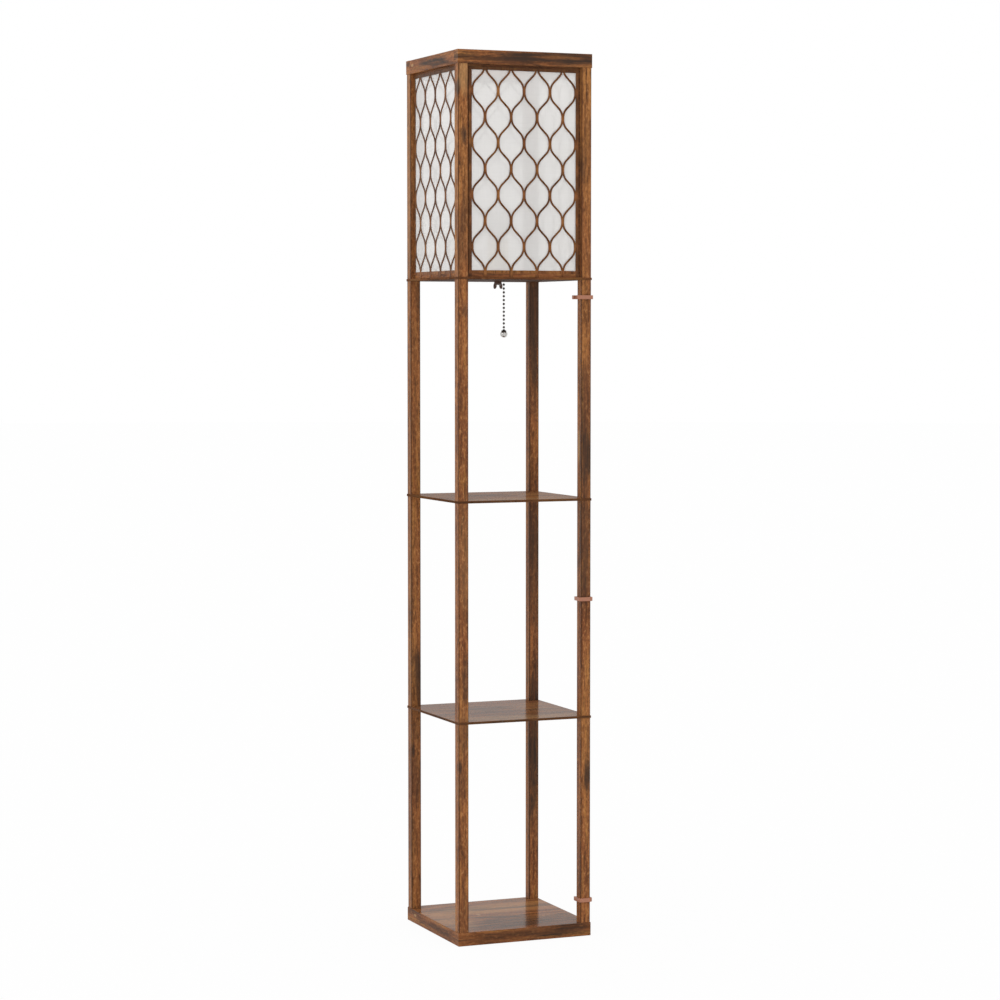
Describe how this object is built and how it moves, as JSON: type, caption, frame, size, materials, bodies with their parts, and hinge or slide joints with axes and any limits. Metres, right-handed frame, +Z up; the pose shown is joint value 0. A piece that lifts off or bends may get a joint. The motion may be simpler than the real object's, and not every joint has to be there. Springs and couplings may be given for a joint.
{
  "type": "shelf floor lamp",
  "caption": "Square floor lamp with open shelves between four wooden corner posts and a box shade of wavy lattice panels.",
  "frame": {"origin": "centre of the base board's underside, on the floor", "axes": "+Z up along the posts; -Y towards the front; the post with the cord clips stands at +X, -Y"},
  "size_m": [0.2629, 0.2629, 1.601],
  "materials": {
    "wood_print": "satin",
    "dowel_wood": "matte",
    "diffuser_film": "matte",
    "hardware_steel": "satin",
    "bronze_paint": "satin",
    "holder_brass": "satin",
    "switch_plastic": "matte",
    "insulating_card": "matte",
    "bulb_cap_metal": "satin",
    "bulb_glass": "frosted",
    "chain_chrome": "polished",
    "clip_plastic": "satin"
  },
  "bodies": {
    "lamp": {"base_board": "wood_print", "lower_shelf": "wood_print", "middle_shelf": "wood_print", "shade_floor": "wood_print", "lower_post_front_left": "wood_print", "lower_post_front_right": "wood_print", "lower_post_back_left": "wood_print", "lower_post_back_right": "wood_print", "middle_post_front_left": "wood_print", "middle_post_front_right": "wood_print", "middle_post_back_left": "wood_print", "middle_post_back_right": "wood_print", "upper_post_front_left": "wood_print", "upper_post_front_right": "wood_print", "upper_post_back_left": "wood_print", "upper_post_back_right": "wood_print", "shade_post_front_left": "wood_print", "shade_post_front_right": "wood_print", "shade_post_back_left": "wood_print", "shade_post_back_right": "wood_print", "top_front_rail": "wood_print", "top_back_rail": "wood_print", "top_left_rail": "wood_print", "top_right_rail": "wood_print", "top_dowels": "dowel_wood", "front_lattice_panel": "wood_print", "right_lattice_panel": "wood_print", "back_lattice_panel": "wood_print", "left_lattice_panel": "wood_print", "front_backing_frame": "wood_print", "right_backing_frame": "wood_print", "back_backing_frame": "wood_print", "left_backing_frame": "wood_print", "front_diffuser": "diffuser_film", "right_diffuser": "diffuser_film", "back_diffuser": "diffuser_film", "left_diffuser": "diffuser_film", "shelf_studs": "hardware_steel", "post_inserts": "hardware_steel", "frame_bolts": "hardware_steel", "socket_nipple": "hardware_steel", "nipple_washer": "hardware_steel", "screw_shell": "hardware_steel", "wing_nut": "bronze_paint", "socket_cap": "holder_brass", "socket_shell": "holder_brass", "centre_contact": "holder_brass", "switch_block": "switch_plastic", "socket_liner": "insulating_card", "bulb_cap": "bulb_cap_metal", "bulb_glass": "bulb_glass"},
    "pull_chain_top": {"chain_top": "chain_chrome"},
    "pull_chain_swivel": {"chain_swivel_bead": "chain_chrome"},
    "pull_chain_hanging": {"hanging_chain": "chain_chrome", "ball_cap": "chain_chrome", "pull_ball": "chain_chrome"},
    "lower_clip": {"lower_cord_clip": "clip_plastic"},
    "middle_clip": {"middle_cord_clip": "clip_plastic"},
    "upper_clip": {"upper_cord_clip": "clip_plastic"}
  },
  "joints": [
    {"name": "chain_pull", "type": "slide", "parent": "lamp", "child": "pull_chain_top", "axis": [0, 0, -1], "range_m": [0, 0.008], "stiffness_N_per_m": 300, "springref_m": -0.01},
    {"name": "chain_swing_front", "type": "hinge", "parent": "pull_chain_top", "child": "pull_chain_swivel", "pos_m": [0, -0.028, 1.19192], "axis": [1, 0, 0], "range_deg": [-25, 25]},
    {"name": "chain_swing_side", "type": "hinge", "parent": "pull_chain_swivel", "child": "pull_chain_hanging", "pos_m": [0, -0.028, 1.18487], "axis": [0, 1, 0], "range_deg": [-25, 25]},
    {"name": "lower_clip_slide", "type": "slide", "parent": "lamp", "child": "lower_clip", "axis": [0, 0, 1], "range_m": [-0.038, 0.33]},
    {"name": "middle_clip_slide", "type": "slide", "parent": "lamp", "child": "middle_clip", "axis": [0, 0, 1], "range_m": [-0.209, 0.175]},
    {"name": "upper_clip_slide", "type": "slide", "parent": "lamp", "child": "upper_clip", "axis": [0, 0, 1], "range_m": [-0.36, 0.027]}
  ]
}
